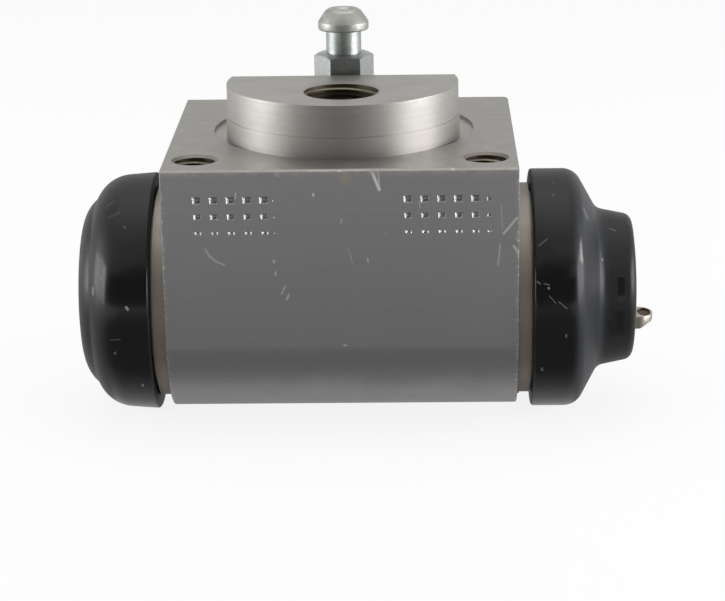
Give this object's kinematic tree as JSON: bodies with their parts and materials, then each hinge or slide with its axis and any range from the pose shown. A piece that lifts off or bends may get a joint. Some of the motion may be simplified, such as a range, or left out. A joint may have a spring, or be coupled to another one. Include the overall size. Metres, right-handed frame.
{
  "type": "wheel cylinder",
  "caption": "Hydraulic wheel cylinder of a drum brake: machined aluminium housing with pilot boss, opposed pistons under rubber dust boots, and a bleeder screw.",
  "frame": {"origin": "centre of the pilot boss, level with the mounting face that bears on the backplate", "axes": "+Z out of the mounting face, +X along the bore towards the piston that stands out, +Y from the pilot boss towards the bleeder screw"},
  "size_m": [0.0864, 0.0493, 0.0579],
  "materials": {
    "machined_aluminium": "satin",
    "boot_rubber": "satin",
    "piston_alloy": "satin",
    "seal_rubber": "matt",
    "pressed_steel": "satin",
    "spring_steel": "satin",
    "zinc_steel": "bright zinc plate"
  },
  "bodies": {
    "housing": {"housing": "machined_aluminium", "boot_left": "boot_rubber", "boot_right": "boot_rubber", "spring": "spring_steel"},
    "piston_left": {"piston_left": "piston_alloy", "cup_seal_left": "seal_rubber", "cup_expander_left": "pressed_steel"},
    "piston_right": {"piston_right": "piston_alloy", "cup_seal_right": "seal_rubber", "cup_expander_right": "pressed_steel"},
    "bleeder": {"bleeder_screw": "zinc_steel"}
  },
  "joints": [
    {"name": "piston_left_slide", "type": "slide", "parent": "housing", "child": "piston_left", "axis": [-1, 0, 0], "range_m": [0, 0.01], "deforming": ["boot_left", "spring"]},
    {"name": "piston_right_slide", "type": "slide", "parent": "housing", "child": "piston_right", "axis": [1, 0, 0], "range_m": [-0.006, 0.003], "deforming": ["boot_right", "spring"]},
    {"name": "bleeder_turn", "type": "hinge", "parent": "housing", "child": "bleeder", "pos_m": [0, 0.0095, 0], "axis": [0, 0, 1], "range_deg": [0, 270]}
  ]
}
